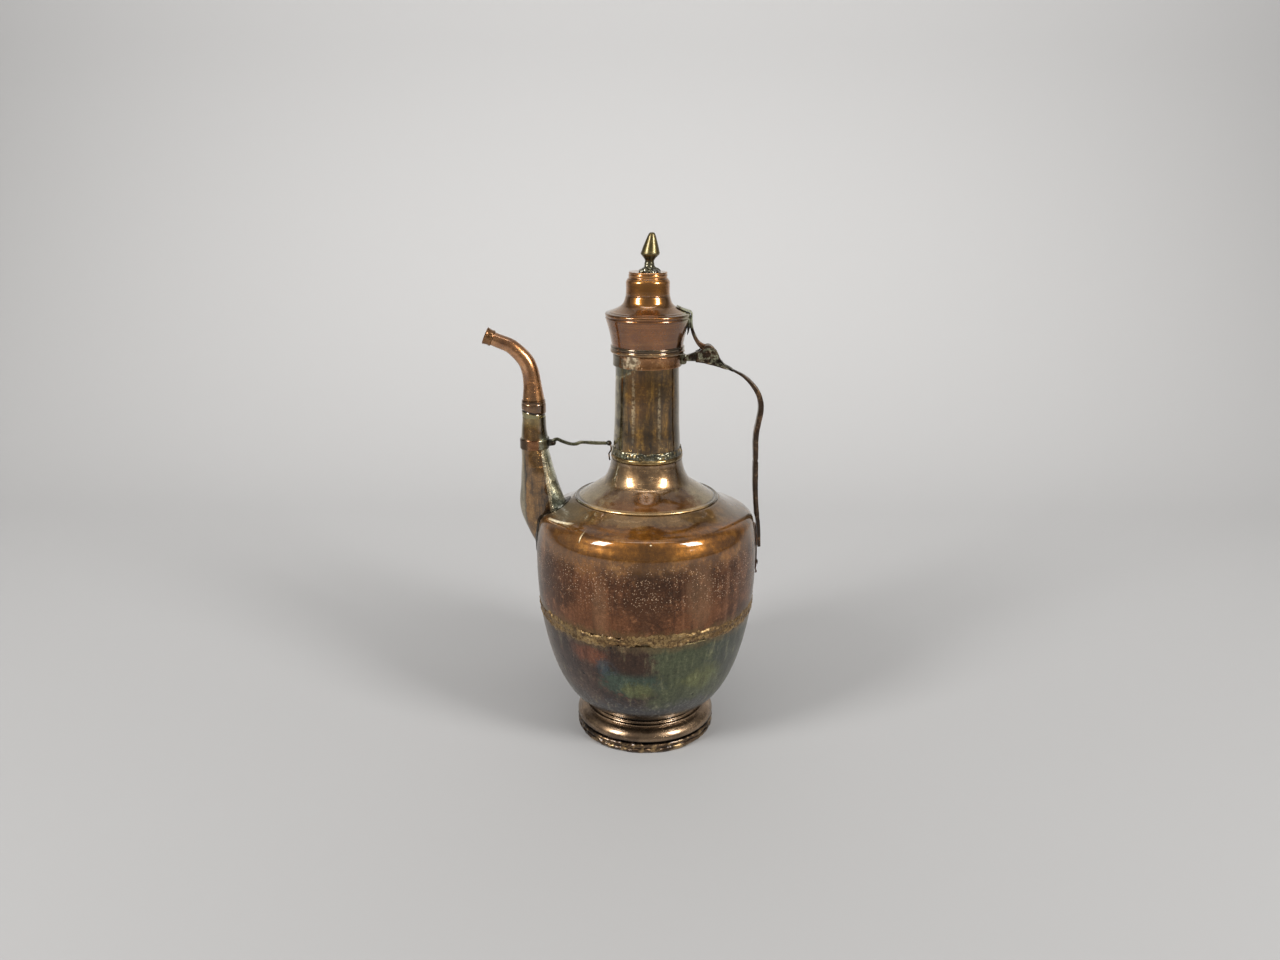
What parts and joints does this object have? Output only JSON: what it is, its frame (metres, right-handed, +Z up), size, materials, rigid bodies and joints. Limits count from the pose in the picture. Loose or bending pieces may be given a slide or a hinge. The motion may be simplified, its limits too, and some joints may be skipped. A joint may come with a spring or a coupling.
{
  "type": "jug",
  "caption": "Tall copper and brass jug with a flared foot, an upright curved spout stayed to the neck, a bowed strap handle and a hinged lid with a bud knob.",
  "frame": {"origin": "on the floor, under the middle of the jug's length from spout to handle", "axes": "+Z up, +X towards the handle, -X towards the spout, -Y towards the viewer of the picture"},
  "size_m": [0.225, 0.1822, 0.416],
  "materials": {
    "copper": "worn polished copper with brown patina",
    "gold_copper": "polished copper toned golden brown",
    "braze": "rough ochre braze",
    "olive_brass": "brass with olive and green patina",
    "solder": "rough grey green solder",
    "dark_bronze": "dark forged brass",
    "bright_brass": "polished cast brass"
  },
  "bodies": {
    "jug": {"foot_rim": "dark_bronze", "foot_ring": "gold_copper", "lower_bowl": "copper", "braze_seam": "braze", "upper_body": "gold_copper", "neck_cone": "gold_copper", "neck_base_ring": "olive_brass", "neck_solder": "solder", "neck_tube": "olive_brass", "neck_collar": "copper", "collar_rivet": "dark_bronze", "spout_flange": "dark_bronze", "spout_lower": "olive_brass", "spout_sleeve": "copper", "spout_upper": "copper", "spout_tip_ring": "gold_copper", "spout_band": "copper", "spout_band_rivet": "dark_bronze", "stay_rod": "dark_bronze", "stay_hook": "dark_bronze", "handle": "dark_bronze", "handle_tail_plate": "copper", "handle_tail_rivet": "dark_bronze", "hinge_pin": "dark_bronze"},
    "lid": {"lid_rim": "copper", "lid_shell": "copper", "lid_strap": "dark_bronze", "finial_base": "solder", "finial": "bright_brass", "finial_washer": "olive_brass"}
  },
  "joints": [
    {"name": "lid_hinge", "type": "hinge", "parent": "jug", "child": "lid", "pos_m": [0.06458, 0, 0.3245], "axis": [0, 1, 0], "range_deg": [0, 116]}
  ]
}
